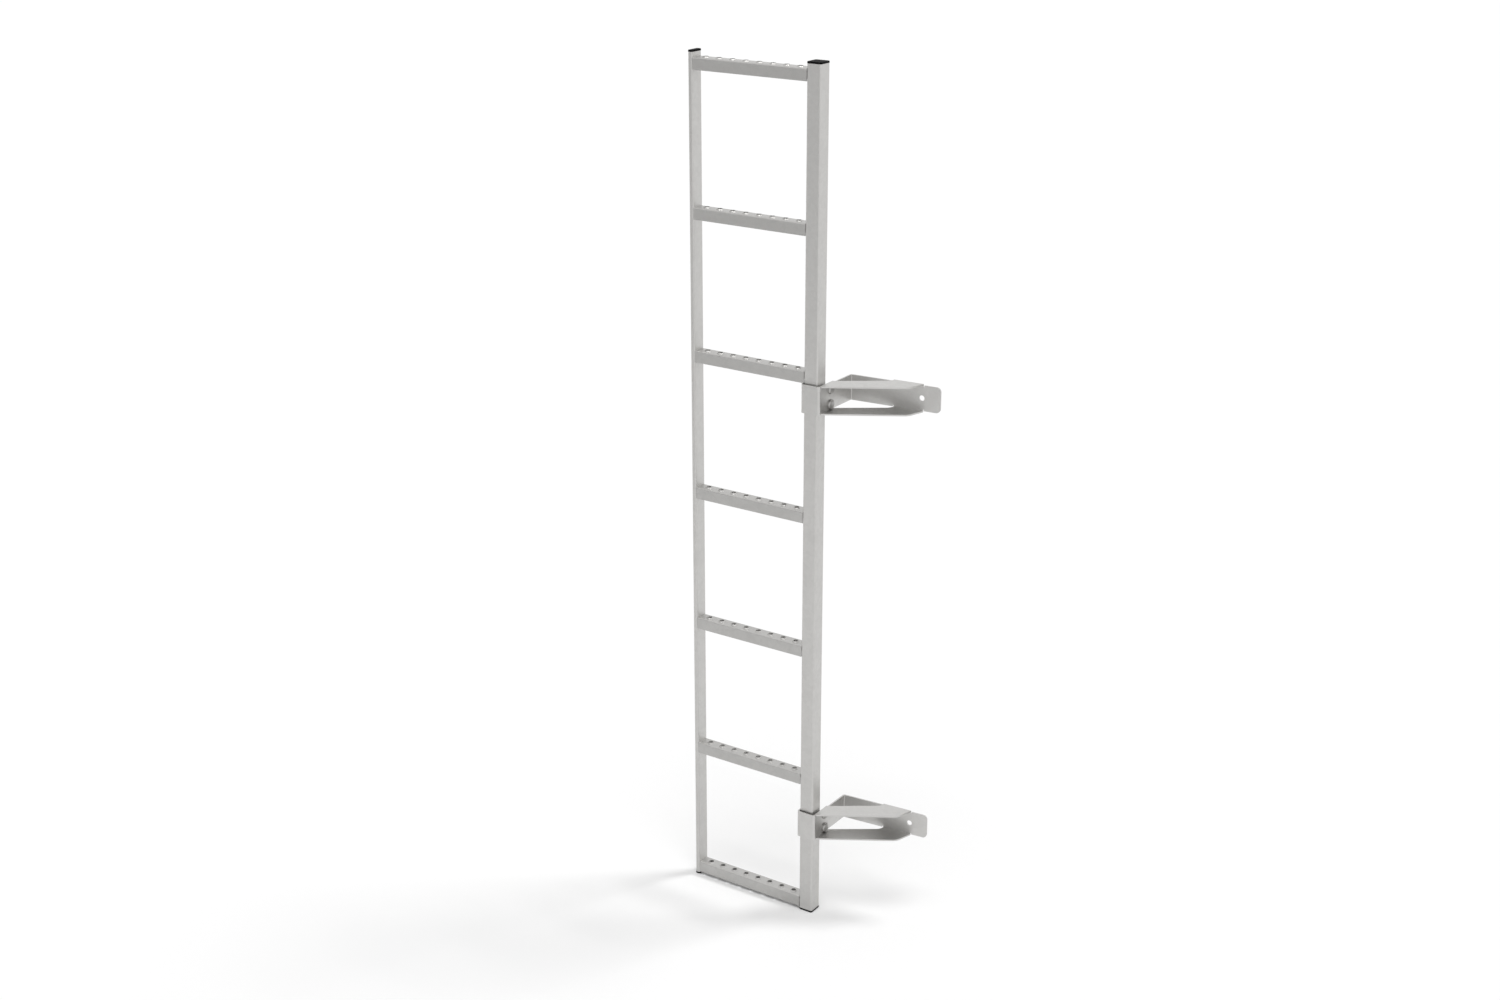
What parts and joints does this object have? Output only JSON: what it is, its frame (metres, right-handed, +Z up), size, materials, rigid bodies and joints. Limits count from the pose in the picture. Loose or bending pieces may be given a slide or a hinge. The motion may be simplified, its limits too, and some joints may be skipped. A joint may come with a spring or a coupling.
{
  "type": "boat boarding ladder",
  "caption": "Narrow steel boarding ladder with one wide and one slim rail, grip-holed channel rungs, and two clamp-on brackets whose angled wall tabs are bolted to a side.",
  "frame": {"origin": "centre of the upper bracket's wall hole, on the face of the tab that lies against the wall", "axes": "+Z up along the rails, +X along the rungs from the slim rail towards the brackets, +Y from the climber's side to the back"},
  "size_m": [0.4832, 0.1342, 1.722],
  "materials": {
    "galvanised_steel": "galvanised, pale satin grey with a faint mottle",
    "black_plastic": "matte black moulded",
    "zinc_plated_fasteners": "bright zinc plate"
  },
  "bodies": {
    "upper_bracket": {"upper_bracket_plate": "galvanised_steel", "upper_sleeve": "galvanised_steel", "upper_clamp_bolts": "zinc_plated_fasteners", "upper_clamp_washers": "zinc_plated_fasteners", "upper_clamp_nuts": "zinc_plated_fasteners"},
    "ladder": {"main_rail": "galvanised_steel", "thin_rail": "galvanised_steel", "rung_1": "galvanised_steel", "rung_2": "galvanised_steel", "rung_3": "galvanised_steel", "rung_4": "galvanised_steel", "rung_5": "galvanised_steel", "rung_6": "galvanised_steel", "rung_7": "galvanised_steel", "main_top_cap": "black_plastic", "main_foot_cap": "black_plastic", "thin_top_cap": "black_plastic", "thin_foot_cap": "black_plastic"},
    "lower_bracket": {"lower_bracket_plate": "galvanised_steel", "lower_sleeve": "galvanised_steel", "lower_clamp_bolts": "zinc_plated_fasteners", "lower_clamp_washers": "zinc_plated_fasteners", "lower_clamp_nuts": "zinc_plated_fasteners"}
  },
  "joints": [
    {"name": "ladder_height", "type": "slide", "parent": "upper_bracket", "child": "ladder", "axis": [0, 0, 1], "range_m": [0, 0.2]},
    {"name": "lower_bracket_height", "type": "slide", "parent": "ladder", "child": "lower_bracket", "axis": [0, 0, 1], "range_m": [-0.142, 0.058]}
  ]
}
